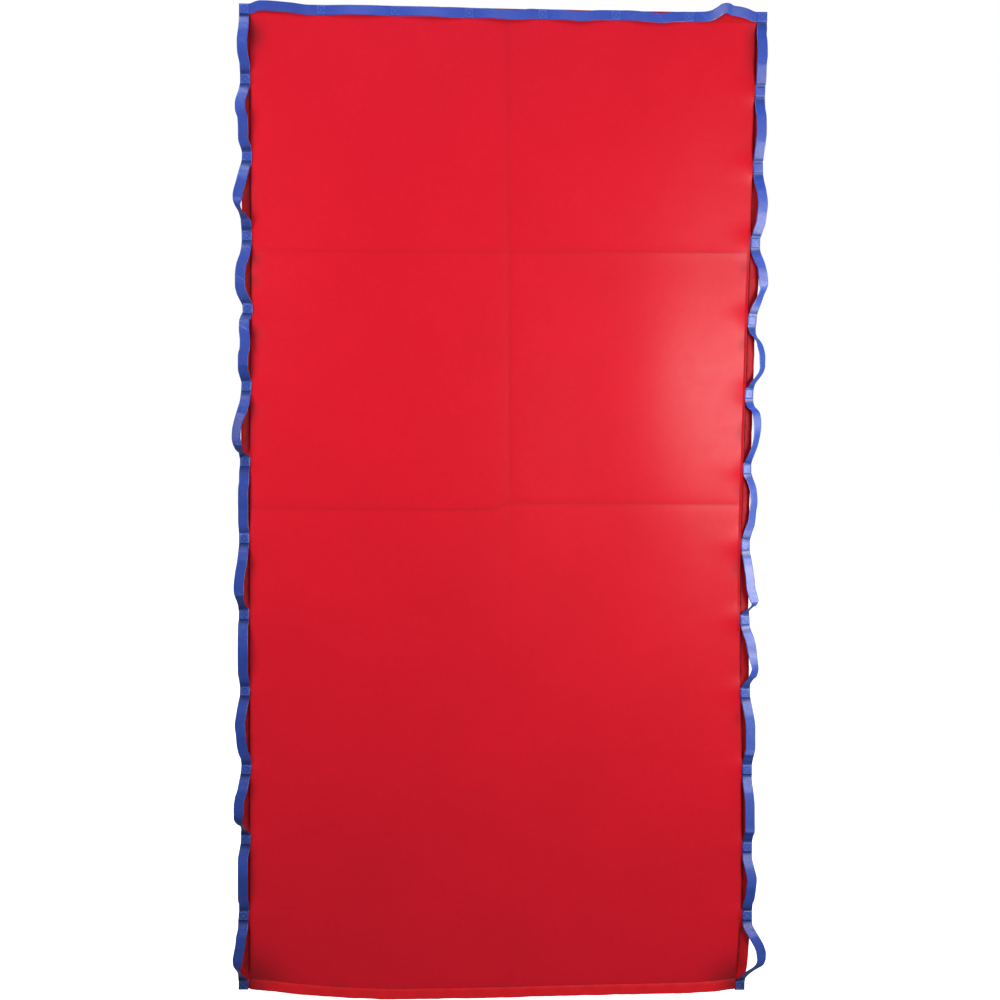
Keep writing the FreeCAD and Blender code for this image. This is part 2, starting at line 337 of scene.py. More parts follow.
def grid_faces(rows, columns, first=0, flip=False):
    """The quads of a grid of points that is stored row by row."""
    i = np.arange(rows - 1)[:, None] * columns + np.arange(columns - 1)[None, :] + first
    quads = np.stack([i, i + 1, i + columns + 1, i + columns], -1).reshape(-1, 4)
    return (quads[:, ::-1] if flip else quads).tolist()


def skin(rows, columns):
    """The faces of a closed sheet: a front grid, a back grid stored after it, and the rim between them."""
    back = rows * columns
    faces = grid_faces(rows, columns, flip=True) + grid_faces(rows, columns, first=back)
    top = list(range(columns))
    right = [r * columns + columns - 1 for r in range(1, rows)]
    bottom = [(rows - 1) * columns + c for c in range(columns - 2, -1, -1)]
    left = [r * columns for r in range(rows - 2, 0, -1)]
    ring = top + right + bottom + left
    for a, b in zip(ring, ring[1:] + ring[:1]):
        faces.append([a, b, b + back, a + back])
    return faces


def tube(rows, ring, first=0):
    """The faces of a closed tube: rings of points that are stored one after another, and its two ends."""
    faces = []
    for start in range(first, first + (rows - 1) * ring, ring):
        for i in range(ring):
            j = (i + 1) % ring
            faces.append([start + i, start + j, start + ring + j, start + ring + i])
    last = first + (rows - 1) * ring
    return faces + [[first + i for i in reversed(range(ring))], [last + i for i in range(ring)]]


def turned(faces):
    return [face[::-1] for face in faces]


def spread(start, end, coarse, fine, marks, reach):
    """Positions from start to end, coarse apart, and fine apart within reach of each mark."""
    here, found = start, [start]
    while here < end:
        near = min([abs(here - mark) for mark in marks], default=1e9)
        here += fine if near < reach else coarse
        found.append(min(here, end))
    if len(found) > 2 and found[-1] - found[-2] < fine / 2:
        found.pop(-2)
    return np.array(found)


def cloth_sheet(name, top, foot, material):
    """One stretch of the sheet between two drops. The lowest stretch ends on the bottom hem's stitch line."""
    rows = spread(top, foot, 6.0, 2.5, HINGES, 24)
    share = np.concatenate([
        spread(0, 60, 8.0, 2.5, [0], 60),
        spread(60, 940, 10.0, 3.0, [506, 517], 14)[1:],
        spread(940, 1000, 2.5, 2.5, [], 0)[1:],
    ]) / 1000
    drop = np.repeat(rows[:, None], len(share), 1)
    left, right = -edge_x("left", rows)[:, None], edge_x("right", rows)[:, None]
    x = left + (right - left) * share[None, :]
    if foot > CORNER_DROP - FOOT_ZONE:
        stitch = curve(BOTTOM, x) - HEM_HEIGHT + 1.0
        part = np.clip((drop - (foot - FOOT_ZONE)) / FOOT_ZONE, 0, 1)
        drop = drop + (stitch - foot) * part**2 * (3 - 2 * part)
    back = relief(x, drop)
    step = 0.6
    across = (relief(x + step, drop) - relief(x - step, drop)) / (2 * step)
    down = (relief(x, drop + step) - relief(x, drop - step)) / (2 * step)
    front_normal = np.stack([across, -np.ones_like(back), -down], -1).reshape(-1, 3)
    front_normal /= np.linalg.norm(front_normal, axis=1)[:, None]
    points = both_faces(x, back - SHEET_HALF, back + SHEET_HALF, drop)
    # Painted shade: the cloth's colour is darkened along the creases, in the hollows beside the seams and in the
    # lower corners, as shadow would darken it.
    painted_shade_map = np.zeros(x.shape)
    for distance, strength, _ in crease_lines(x, drop):
        painted_shade_map = np.maximum(painted_shade_map, CREASE_PAINTED_SHADE * strength * fade(np.abs(distance), CREASE_PAINTED_SHADE_REACH))
    for dark, shape in hollows(x, drop):
        painted_shade_map = np.maximum(painted_shade_map, dark * shape)
    shade = np.tile(painted_shade_map.ravel(), 2)
    normals = np.concatenate([front_normal, -front_normal])
    return new_piece(name, points, skin(len(rows), len(share)), [material], hung(points), shade, normals=normals)


# ---- stitches ----

STITCH_RING = [(0.0, 1.0), (0.87, 0.5), (0.87, -0.5), (0.0, -1.0), (-0.87, -0.5), (-0.87, 0.5)]
STITCH_STATIONS = [(-0.5, 0.25), (-0.36, 0.9), (0.0, 1.1), (0.36, 0.9), (0.5, 0.25)]


class Threads:
    """Short stitches that lie on a surface, gathered as points and faces."""

    def __init__(self):
        self.points, self.faces = [], []

    def stitch(self, middle, along, normal, length, radius):
        """One stitch, its ends sinking into the cloth."""
        along = np.asarray(along, float) / np.linalg.norm(along)
        normal = np.asarray(normal, float) / np.linalg.norm(normal)
        side = np.cross(along, normal)
        base = len(self.points)
        for at, size in STITCH_STATIONS:
            lift = radius * (0.9 - 5.2 * at * at)
            spine = middle + along * (at * length) + normal * lift
            for across, up in STITCH_RING:
                self.points.append(spine + (side * across + normal * up) * radius * size)
        self.faces += tube(len(STITCH_STATIONS), len(STITCH_RING), base)

    def run(self, path, normal, pitch, length, radius):
        """Stitches at an even pitch along a path of points, all facing one way."""
        path = np.asarray(path, float)
        reach = np.concatenate([[0], np.cumsum(np.linalg.norm(np.diff(path, axis=0), axis=1))])
        for at in np.arange(pitch / 2, reach[-1], pitch):
            ends = [np.array([np.interp(at + d, reach, path[:, i]) for i in range(3)]) for d in (-0.5, 0.5)]
            self.stitch((ends[0] + ends[1]) / 2, ends[1] - ends[0], normal, length, radius)


def with_threads(name, points, faces, cloth, shade, threads, materials):
    """A piece of cloth and the threads sewn through it, as one mesh with two materials."""
    base = len(points)
    sewn = np.array(threads.points).reshape(-1, 3)
    all_points = np.concatenate([points, sewn])
    all_faces = faces + [[i + base for i in face] for face in threads.faces]
    kinds = [0] * len(faces) + [1] * len(threads.faces)
    cloth = np.concatenate([cloth, hung(sewn)])
    shade = np.concatenate([shade, np.zeros(len(sewn))])
    return new_piece(name, all_points, all_faces, materials, cloth, shade, kinds)


# ---- hems ----

# Across a side hem, outwards from its stitch line: the turned-in edge lies behind the sheet.
HEM_STEPS = [-5.0, -4.6, -3.5, -1.0, 0.3, 1.6, 3.0, 5.0, 7.5, 10.0, 12.5, 14.6, 15.7, 16.2]
HEM_LEVEL = knots("-5 .9, -1 .55, .3 .5, 3 1, 8 .55, 12.5 0, 16.2 .2")
HEM_GUTTER = knots("-5 0, -.5 .1, .5 .5, 3 1, 6.5 .75, 11 .1, 14.5 -.35, 16.2 -.3")
HEM_THICK = knots("-5 .1, -4.6 .5, -3.5 .75, .3 .75, 3 1.2, 12 1.8, 15 1.7, 15.8 1.1, 16.2 .2")
GUTTER_DEPTH = 2.0
HEM_SPREAD = {
    "left": knots("0 2, 400 2.6, 1200 2, 1880 1.8, 1935 6, 1960 5, 1975 2"),
    "right": knots("0 2, 440 2.5, 520 6, 570 5, 607 2, 1000 2.5, 1800 2.5, 1860 6, 1945 6, 1975 2"),
}
# How much painted shade each side's hem takes beyond its gutter.
HEM_PAINTED_SHADE = {"left": 0.8, "right": 0.35}
THREAD_INSET = 1.3
REAR_ROW = -2.4
REAR_DEPTH = 0.75
# Stitches: their pitch and length, and the radius of the thread where every row has the same.
SIDE_STITCH = (4.2, 3.3, 0.34)
CROSS_STITCH = (6.4, 4.8)
BOX_STITCH = (2.7, 2.2, 0.38)
CROSS_STEPS = np.array([0.0, 0.03, 0.1, 0.25, 0.4, 0.55, 0.7, 0.82, 0.91, 0.97, 1.0])
CROSS_THICK = 1.8


def hem_ripple(side, drop, out):
    """Small slanting wrinkles along a hem."""
    phase = 0.0 if side == "left" else 1.7
    wave = np.sin((drop + 1.3 * out) / 3.1 + phase) * np.sin(drop / 9.7 + 2 * phase)
    return 0.28 * wave + 0.35 * np.sin((drop - 0.8 * out) / 7.3 + phase)


def margin(side, drop):
    """At a drop, the stitch line's place outwards and backwards, and the turn of the hem beyond it."""
    out = edge_x(side, drop)
    back = relief(SIDES[side] * out, drop)
    return out, back, np.radians(curve(MARGIN_TURN[side], drop))


def on_margin(side, drop, across, behind):
    """A point of the hem's own plane: across it outwards from the stitch line and behind it. Between the tacks
    the hem's loose outer edge spreads a little wider."""
    out, back, turn = margin(side, drop)
    free = np.clip(1 - tack_bumps(side, drop), 0, 1)
    across = across * (1 + free * curve(HEM_SPREAD[side], drop) * positive(across) / HEM_WIDTH**2)
    x = out + across * np.cos(turn) - behind * np.sin(turn)
    y = back + across * np.sin(turn) + behind * np.cos(turn)
    return np.stack([SIDES[side] * x, y, -drop + 0 * x], -1)


def side_hem(side, name, top, foot, materials):
    """One stretch of a side's folded hem, with the row of stitches that holds it."""
    drop = spread(top, foot, 3.0, 2.0, HINGES, 20)[:, None]
    out = np.array(HEM_STEPS)[None, :]
    free = np.clip(1.15 - 1.3 * tack_bumps(side, drop), 0, 1)
    level = curve(HEM_LEVEL, out) + GUTTER_DEPTH * free * curve(HEM_GUTTER, out)
    level = level + hem_ripple(side, drop, out) * np.clip(out / 8, 0, 1) * free
    thick = curve(HEM_THICK, out)
    front = on_margin(side, drop, out, level - HEM_HALF)
    behind = on_margin(side, drop, out, level - HEM_HALF + thick)
    # Painted shade on the hem between the tacks, in patches: darkest in the gutter beside the stitch line, and over
    # the hem beyond it more on the left than the right; its back takes less.
    patchy = 0.78 + 0.22 * np.sin(drop / 2.9 + out / 2.1) * np.sin(drop / 8.3 + out)
    dark = free * patchy * np.maximum(bump(out - 2.2, 2.6), HEM_PAINTED_SHADE[side] * bump(out - 6.5, 5.0))
    points = np.concatenate([front.reshape(-1, 3), behind.reshape(-1, 3)])
    faces = skin(len(drop), len(HEM_STEPS))
    if side == "left":
        faces = turned(faces)
    threads = Threads()
    line = drop[:, 0]
    seam = on_margin(side, line, -THREAD_INSET + 0 * line, -SHEET_HALF + 0 * line)
    seam[:, 1] = relief(seam[:, 0], line) - SHEET_HALF
    threads.run(seam, [0, -1, 0], *SIDE_STITCH)
    # The rear stitches stand across as on the hem's back, and back as on the turned-in edge.
    rear = on_margin(side, line, REAR_ROW + 0 * line, HEM_HALF + 0 * line)
    turned_in = curve(HEM_LEVEL, REAR_ROW) - HEM_HALF + REAR_DEPTH
    rear[:, 1] = on_margin(side, line, REAR_ROW + 0 * line, turned_in + 0 * line)[:, 1]
    threads.run(rear, [0, 1, 0], *SIDE_STITCH)
    shade = np.concatenate([dark.ravel(), 0.4 * dark.ravel()])
    return with_threads(name, points, faces, hung(points), shade, threads, materials)


def cross_hem(name, x, top, foot, level, materials, sewn_at, hem_painted_shade):
    """A hem across the sheet. top and foot are its drops, level is its front's place, and sewn_at gives each row
    of stitches: its drops, its places back, the way that it faces and its thread's radius. The last argument is
    how much painted shade darkens the cloth along the hem."""
    drop = top[:, None] + (foot - top)[:, None] * CROSS_STEPS[None, :]
    columns = np.repeat(x[:, None], len(CROSS_STEPS), 1)
    # The hem is thin at its two long edges.
    thick = CROSS_THICK * np.clip(np.sqrt(np.clip(1 - (2 * CROSS_STEPS - 1) ** 8, 0.02, 1)), 0.1, 1)
    front = level(columns, drop)
    points = both_faces(columns, front, front + thick[None, :], drop)
    threads = Threads()
    for drop_at, y, normal, radius in sewn_at:
        threads.run(np.stack([x, y, -drop_at], -1), normal, *CROSS_STITCH, radius)
    shade = np.tile(np.repeat(hem_painted_shade, len(CROSS_STEPS)), 2)
    faces = turned(skin(len(x), len(CROSS_STEPS)))
    return with_threads(name, points, faces, hung(points), shade, threads, materials)


def bottom_hem(materials):
    x = spread(-edge_x("left", CORNER_DROP), edge_x("right", CORNER_DROP) + 3, 3.5, 3.5, [], 0)
    foot = curve(BOTTOM, x) + 0.5 * np.sin(x / 19) * np.sin(x / 47)
    top = curve(BOTTOM, x) - HEM_HEIGHT - 2.0

    def level(across, drop):
        stitch = curve(BOTTOM, across) - HEM_HEIGHT
        below = positive(drop - stitch)
        sheet = relief(across, np.minimum(drop, stitch + 1.0))
        lift = -np.clip(below / 4, 0, 1) * 1.5
        ripple = 0.5 * np.sin((across + 0.9 * drop) / 5.2) * np.sin(across / 13 + 0.5)
        ripple = ripple + 0.45 * np.sin((across - 0.7 * drop) / 9.1 + 1.0)
        under = np.where(drop < stitch, 0.35 + SHEET_HALF, 0)
        return sheet - SHEET_HALF + lift + under + ripple * np.clip(below / 6, 0, 1)

    stitch = curve(BOTTOM, x) - HEM_HEIGHT - 0.6
    on_front = relief(x, stitch) - SHEET_HALF
    on_back = relief(x, stitch) + SHEET_HALF + 0.9
    sewn = [(stitch, on_front, [0, -1, 0], 0.6), (stitch, on_back, [0, 1, 0], 0.45)]
    # Painted shade in the hem's two lower corners.
    hem_painted_shade = 0.65 * bump(x + FACE, 42) + 0.75 * bump(x - FACE, 30)
    return cross_hem("bottom_hem_band", x, top, foot, level, materials, sewn, hem_painted_shade)


def top_hem(materials):
    x = spread(-FACE, FACE, 6.0, 6.0, [], 0)
    top = 0.4 * np.sin(x / 60) * np.sin(x / 23) + 1.7
    foot = np.full(len(x), STRAP_WIDTH + 1.5)

    def level(across, drop):
        sheet = relief(across, np.maximum(drop, STRAP_WIDTH))
        return sheet - HEM_HALF + 0.1 + 0.25 * np.sin(across / 11) * np.sin(drop / 6)

    stitch = np.full(len(x), STRAP_WIDTH + 0.2)
    on_back = relief(x, stitch) + HEM_HALF + 0.1
    sewn = [(stitch, on_back, [0, 1, 0], 0.45)]
    return cross_hem("top_hem_band", x, top, foot, level, materials, sewn, 0 * x)


# ---- webbing ----

# Around the strap's cross-section: across it in half widths, and its half thickness.
STRAP_SECTION = knots("-1 .3, -.95 .8, -.84 1, -.45 .96, 0 .96, .45 .96, .84 1, .95 .8, 1 .3")
STRAP_STEP = 2.0
# How far a loop reaches under each tack, and a number of rows from a loop's middle.
OVERLAP = 1.6
BLEND_ROWS = 4
# How much of a loop's length near each tack gets painted shade.
PAINTED_SHADE_SHARE = 0.34

# Each hand loop from the top down: (share of its length, how far its outer edge stands outside the straight strap's
# edge, and where it is turned edge-on, the width that shows). A plain pair is the full width.
LOOPS = {
    "left": loops("""
        0 4.8, .2 5.5, .45 8.5, .6 8, .85 3, 1 2.4 /
        0 2.3, .12 6, .3 11.9, .38 11.5, .5 6.8, .62 5.8, .8 5.6, .93 .5, 1 -2 /
        0 -1.6, .13 3.5, .3 9.3, .5 15.5, .56 15 18, .64 10.5 11, .71 4.8 8, .78 1.8 13, .86 -.4, 1 -1.6 /
        0 -2.2, .13 -.8, .22 1.4, .3 5, .4 8.8, .55 10.7, .7 10.6, .8 8, .9 2.4, 1 -4 /
        0 -4.6, .12 2.2, .22 2.5, .4 .3, .5 .6, .62 3.9, .8 3.9, .9 1, 1 -3 /
        0 -2.2, .15 0, .3 5.4, .45 11.2 18, .6 15 18, .7 15.5 18, .8 12.8 18, .88 8.6 14, .94 1.2 12, 1 -.8 /
        0 -.4, .1 1.2, .22 1.3, .35 3, .8 2.8, .92 1.6, 1 .7 /
        0 .6, .15 2.3, .3 4.6, .45 8, .65 10.4, .72 10, .8 7.6 17, .88 3.8 16, 1 .3 /
        0 .4, .1 2, .4 1.9, .78 1.6, .88 -.6, 1 -2.5 /
        0 -2.4, .12 1.3, .28 5, .42 7.4, .55 5.2, .7 3.4, .8 .6, .9 -4.6, 1 -6 /
        0 -4.4, .13 -1.2, .27 2, .4 7, .55 8.7, .72 8.6 18, .79 4.8 15, .86 -4.8 9, .92 -5.8 15, 1 -5.8 /
        0 -5, .13 -1.8, .22 .1, .5 -.1, .8 -.2, .9 -2.4, 1 -2.4 /
        0 -.6, .13 -.3, .27 3, .4 4.6, .53 7.6, .65 9.6, .73 8.8 17, .795 5 11, .84 1.4 9, .89 -.6 13, 1 -1.8"""),
    "right": loops("""
        0 0, .1 .2, .2 -.9, .32 .6, .52 1.3, .65 -.2, .9 .2, 1 -.6 /
        0 -1, .18 -.5, .32 1.9, .54 2.4, .68 .8, .82 -.8, 1 -2.3 /
        0 -1.6, .13 .4, .28 4.4, .48 7.7, .62 6.1, .76 4.6, .86 .8, 1 -4.4 /
        0 -4.8, .1 -2, .2 3.7, .3 8.2 18, .42 11.6, .52 13, .6 10.6 16, .68 6 14, .78 1.8 16, .9 -4 18, 1 -7.8 18 /
        0 -9.4 17, .12 -9 15, .19 -6.4 10, .26 .6 11, .34 6 14, .5 10 14, .64 10 13, .72 7.6 12, .8 1.6 12,
        .9 -7.4 13, 1 -12 16 /
        0 -12 18, .12 -8.6 17, .17 -3 15, .22 2 17, .4 4.7 17, .54 3 15, .7 -.8 14, .82 -6 14, .93 -11 16,
        1 -13.4 17 /
        0 -12.8 17, .12 -5.6 16, .22 -.9 16, .42 1.8 16, .55 0 16, .72 -2 17, .85 -6.4, 1 -13 18 /
        0 -12.4 18, .12 -8.2, .24 -5.9, .4 -2.6, .56 -.4, .66 3, .76 6 19, .81 3.4 14, .87 -5 10, .94 -11.4 16,
        1 -12 17 /
        0 -10.4 18, .12 -5, .22 -.4, .36 3.6, .52 6.2 18, .68 9 16, .77 6.2 17, .86 -2.2 16, .95 -6.6 18, 1 -6.8 /
        0 -5.6, .12 -2, .26 1.8, .42 5.1, .6 5.5, .72 5.8, .84 3, 1 .4 /
        0 .9, .12 1.4, .26 3.8, .44 6.3, .64 6.8, .8 7.3, .9 5, 1 3.9 /
        0 4.2, .12 4.6, .28 8.8, .45 13.4, .6 12, .76 10.3, .87 6.6, 1 6.6 /
        0 7, .1 8.6, .2 15.4, .3 23, .42 31.4, .52 35, .6 35.2 19, .68 32 18, .745 22.6 17, .81 11.5 17, .89 1.5 17,
        1 -6.2 17"""),
}
# Along the top from the left: how far the strap's upper edge stands above the top of the sheet.
TOP_LOOP_EDGES = loops("""
    0 -2.7, .05 -1.5, .12 2.6, .2 4.3, .28 4, .47 2.4, .62 .8, .86 -2.4, 1 -2 /
    0 -2, .4 -.8, .95 -1.2, 1 -1.3 /
    0 -1.3, .5 -1.6, .8 -2.6, 1 -2.4 /
    0 -2.4, .25 -2.2, .47 -3.6, .68 -4, .9 -1.2, 1 -1.4 /
    0 -1.4, .33 -3, .55 -4.4, .77 -1.6, 1 -.9 /
    0 -.9, .1 -.8, .53 -4.4, .64 -5, .8 -2.6, 1 -1 /
    0 -1, .16 -.6, .28 2.2, .38 9, .47 16.4, .52 17.4, .6 12.4, .72 10.4, .83 7, .93 2.2, 1 1""")
ARCH = {"side": 15.0, 4: 12.0, 7: 7.0, 10: 12.0, "droop": 5.0, "stand": 7.0}
# Creases across the strap, each with a painted highlight: the loop, the share of its length, and the slant.
STRAP_CREASES = {
    ("left", 3): (0.57, 0.9), ("left", 4): (0.58, 0.6), ("left", 5): (0.22, 0.7), ("left", 13): (0.92, 0.7),
    ("right", 4): (0.59, -0.6), ("right", 5): (0.19, 0.5), ("right", 6): (0.16, 0.25), ("right", 8): (0.86, 0.5),
    ("right", 13): (0.72, 0.8), ("top", 6): (0.62, -0.9), ("top", 7): (0.17, -0.9),
}
NO_CREASE = 1.0


def loop_line(outline, count):
    """Along a loop: the place of its middle outside the straight strap's, and how far it is rolled."""
    t = np.linspace(0, 1, count)
    edge = curve([k[:2] for k in outline], t)
    shown = curve([(k[0], k[2] if len(k) > 2 else STRAP_WIDTH) for k in outline], t)
    roll = np.arccos(np.clip(shown / STRAP_WIDTH, 0.3, 1))
    return t, edge + STRAP_WIDTH / 2 * (1 - np.cos(roll)), roll


def arch_profile(outline, t, height):
    """How far a loop stands off the hem: it leaves its upper tack steeply, is highest below where it is widest, and
    returns in a short bend."""
    widest = max(outline[1:-1], key=lambda k: k[1])[0]
    top = min(max(widest + 0.12, 0.45), 0.84)
    start, end = knots("0 0, .03 .02, .15 .47, .29 .82"), knots(".93 .3, .975 .02, 1 0")
    return height * curve([*start, (top, 1), (0.5 * top + 0.43, 0.84), *end], t)


def ribbon(middles, acrosses):
    """The skin of a strap along middles, each with the direction across it: points and normals, row by row."""
    along = np.gradient(middles, axis=0)
    along /= np.linalg.norm(along, axis=1)[:, None]
    leaning = np.sum(acrosses * along, axis=1)[:, None] * along
    acrosses = acrosses - 0.6 * leaning
    acrosses /= np.linalg.norm(acrosses, axis=1)[:, None]
    fronts = np.cross(along, acrosses)
    fronts /= np.linalg.norm(fronts, axis=1)[:, None]
    section = STRAP_SECTION + [(a, -h) for a, h in reversed(STRAP_SECTION)]
    half = STRAP_WIDTH / 2
    points, normals, cloth = [], [], []
    reach = np.concatenate([[0], np.cumsum(np.linalg.norm(np.diff(middles, axis=0), axis=1))])
    for i, middle in enumerate(middles):
        for a, h in section:
            points.append(middle + acrosses[i] * half * a + fronts[i] * STRAP_HALF * h)
            tilt = acrosses[i] * (0.9 if abs(a) > 0.99 else 0.35 if abs(a) > 0.9 else 0.0) * np.sign(a)
            normal = fronts[i] * np.sign(h) + tilt
            normals.append(normal / np.linalg.norm(normal))
            cloth.append((half * a * MM, reach[i] * MM, np.sign(h) * MM))
    return np.array(points), np.array(normals), np.array(cloth), len(section)


def strap_piece(name, skin_data, rows, material, along_offset, key):
    """The part of a strap's skin between two rows, closed at both ends. The attribute "crease" is the distance
    along the strap from its crease, along which a pale line is painted as a highlight."""
    points, normals, cloth, ring = skin_data
    first, last = rows
    chosen = slice(first * ring, (last + 1) * ring)
    faces = turned(tube(last - first + 1, ring))
    shift = np.array([0, along_offset * MM, 0])
    rise = np.clip(1 - np.abs(cloth[:, 1] - cloth[-1, 1] / 2) / (cloth[-1, 1] / 2), 0, 1)
    # Painted shade at both ends of each side loop, near its tacks; the top strap's loops get none.
    shade = np.clip(1 - rise / PAINTED_SHADE_SHARE, 0, 1)[chosen] * (key[0] != "top")
    cloth_place = cloth[chosen] + shift
    piece = new_piece(name, points[chosen], faces, [material], cloth_place, shade, normals=normals[chosen])
    distance = np.full(len(piece.data.vertices), NO_CREASE)
    if key in STRAP_CREASES:
        share, slant = STRAP_CREASES[key]
        distance = cloth[chosen, 1] - share * cloth[-1, 1] - slant * cloth[chosen, 0]
    point_values(piece.data, "crease", distance)
    return piece


def side_loop(side, number, material):
    """A hand loop of a side strap: one piece where it crosses a crease, and otherwise two pieces that meet at
    its middle."""
    sign = SIDES[side]
    outline = LOOPS[side][number - 1]
    half = STRAP_WIDTH / 2 - OVERLAP
    top, foot = TACKS[side][number - 1] + half, TACKS[side][number] - half
    count = int((foot - top) / STRAP_STEP) + 1
    t, outside, roll = loop_line(outline, count)
    drop = top + (foot - top) * t
    height = ARCH.get(number, ARCH["side"] + 0.12 * max(k[1] for k in outline))
    _, _, turn = margin(side, drop)
    y = strap_level(side, drop) - arch_profile(outline, t, height)
    middles = np.stack([sign * (STRAP_X + outside), y, -drop], -1)
    loose = curve(knots("0 0, .09 1, .93 1, 1 0"), t)
    yaw = turn + positive(roll - turn) * loose
    acrosses = np.stack([np.cos(yaw), sign * np.sin(yaw), 0 * yaw], -1)
    data = ribbon(middles, acrosses)
    name = f"strap_{side}_loop_{number:02d}"
    nodes = loop_nodes(side, number)
    if number in CREASED:
        crease = CREASED.index(number)
        piece = strap_piece(name, data, (0, count - 1), material, drop[0], (side, number))
        panels = (f"panel_{crease + 1}", f"panel_{crease + 2}")
        across_crease(piece, *panels, crease)
        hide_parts(*nodes)
        return
    panel = panel_at(drop[count // 2])
    for part, rows, ends in halves(count, "upper", "lower"):
        piece = strap_piece(f"{name}_{part}", data, rows, material, drop[0], (side, number))
        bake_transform(piece)
        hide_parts(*nodes)


def halves(count, first, second):
    """A loop's two halves: the name of each, its first and last row, and a pair of rows: its end at the tack
    and the row BLEND_ROWS from its middle."""
    middle = count // 2
    return [
        (first, (0, middle), (0, middle - BLEND_ROWS)),
        (second, (middle, count - 1), (-1, middle + BLEND_ROWS)),
    ]


def strap_level(side, drop):
    """How far back the middle of a side strap's own thickness lies where it is flat on the hem."""
    _, back, turn = margin(side, drop)
    return back + STRAP_WIDTH / 2 * np.sin(turn) - (HEM_HALF + STRAP_HALF) * np.cos(turn)


def panel_at(drop):
    return f"panel_{1 + sum(drop > hinge for hinge in HINGES)}"


def across_crease(piece, above, below, crease):
    """A piece of cloth that crosses a crease: its transform is baked into its points."""
    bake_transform(piece)


def top_tack_x(number):
    """The middle of a tack of the top strap. Those at the corners lie over the side straps."""
    if number == 0:
        return -STRAP_X - tack_offset("left", 0)
    if number == TOP_LOOPS:
        return STRAP_X + tack_offset("right", 0)
    return -STRAP_X + number * STRAP_X * 2 / TOP_LOOPS


def top_loop(number, material):
    """A loop of the top strap, from its left tack to its right one, in two pieces like a side loop."""
    outline = TOP_LOOP_EDGES[number - 1]
    half = STRAP_WIDTH / 2 - OVERLAP
    start, end = top_tack_x(number - 1) + half, top_tack_x(number) - half
    count = int((end - start) / STRAP_STEP) + 1
    t, outside, _ = loop_line(outline, count)
    x = start + (end - start) * t
    standing = number in (1, TOP_LOOPS)
    height = ARCH["stand" if standing else "droop"]
    level = relief(x, STRAP_WIDTH / 2 + 0 * x) - HEM_HALF - STRAP_HALF
    swell = np.sin(np.pi * t) ** 0.8 * (1 + 0.12 * np.sin(9 * t + number))
    y = level - height * swell
    z = -STRAP_WIDTH / 2 + outside
    middles = np.stack([x, y, z], -1)
    lean = np.radians(12 if standing else -10) * np.sin(np.pi * t)
    acrosses = np.stack([0 * t, -np.sin(lean), np.cos(lean)], -1)
    data = ribbon(middles, acrosses)
    node = f"top_loop_{number}"
    for part, rows, ends in halves(count, "left", "right"):
        piece = strap_piece(f"strap_{node}_{part}", data, rows, material, x[0], ("top", number))
        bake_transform(piece)
        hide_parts(node)


# ---- tacks ----

TACK_GRID = 9
TACK_THICK = 1.75
TACK_BACK = HEM_HALF * 2 + STRAP_HALF
# Painted shade on the lowest tack of each side strap.
LAST_TACK_PAINTED_SHADE = 0.9
BOX_HALF = 7.2


class Patch:
    """Tacked squares of strap and their box-and-cross stitching, gathered into one mesh."""

    def __init__(self):
        self.points, self.faces, self.cloth, self.shade, self.threads = [], [], [], [], Threads()

    def add(self, middle, across, along, at, dark=0.0):
        """A square of strap that is flat on the hem, and its stitches front and back. at is its own place along
        the strap, so that the weave runs on, and dark is how much painted shade it gets."""
        across, along = np.asarray(across, float), np.asarray(along, float)
        front = np.cross(across, along)
        front = front / np.linalg.norm(front)
        if front[1] > 0:
            front = -front
        half = STRAP_WIDTH / 2
        base = len(self.points)
        steps = np.linspace(-1, 1, TACK_GRID)
        for face in (1, -1):
            for v in steps:
                for u in steps:
                    edge = max(abs(u), abs(v))
                    thin = 1.0 - 0.45 * edge**12
                    sewn = 0.12 * bump(edge * half - BOX_HALF, 1.2) + 0.10 * bump((abs(u) - abs(v)) * half, 1.3)
                    lift = TACK_THICK / 2 * thin - (sewn if face == 1 else 0)
                    spot = middle + across * u * half + along * v * half + front * lift * face
                    self.points.append(spot)
                    self.cloth.append((u * half * MM, (at + v * half) * MM, face * MM))
                    self.shade.append(dark)
        quads = skin(TACK_GRID, TACK_GRID)
        if np.dot(np.cross(across, along), front) > 0:
            quads = turned(quads)
        self.faces += [[i + base for i in q] for q in quads]
        for side, depth in ((1, TACK_THICK / 2 - 0.1), (-1, TACK_BACK)):
            self.box_cross(middle + front * depth * side, across, along, front * side)

    def box_cross(self, middle, across, along, normal):
        corners = [(-1, -1), (1, -1), (1, 1), (-1, 1), (-1, -1)]
        lines = list(zip(corners, corners[1:])) + [((-1, -1), (1, 1)), ((1, -1), (-1, 1))]
        for a, b in lines:
            ends = [middle + (across * p[0] + along * p[1]) * BOX_HALF for p in (a, b)]
            self.threads.run(ends, normal, *BOX_STITCH)

    def piece(self, name, materials):
        points = np.array(self.points)
        piece = with_threads(name, points, self.faces, np.array(self.cloth), self.shade, self.threads, materials)
        point_values(piece.data, "crease", np.full(len(piece.data.vertices), NO_CREASE))
        return piece


def settle(piece, body, node):
    """A piece that rides on one body and stands for one CAD node."""
    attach(piece, body)
    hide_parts(node)


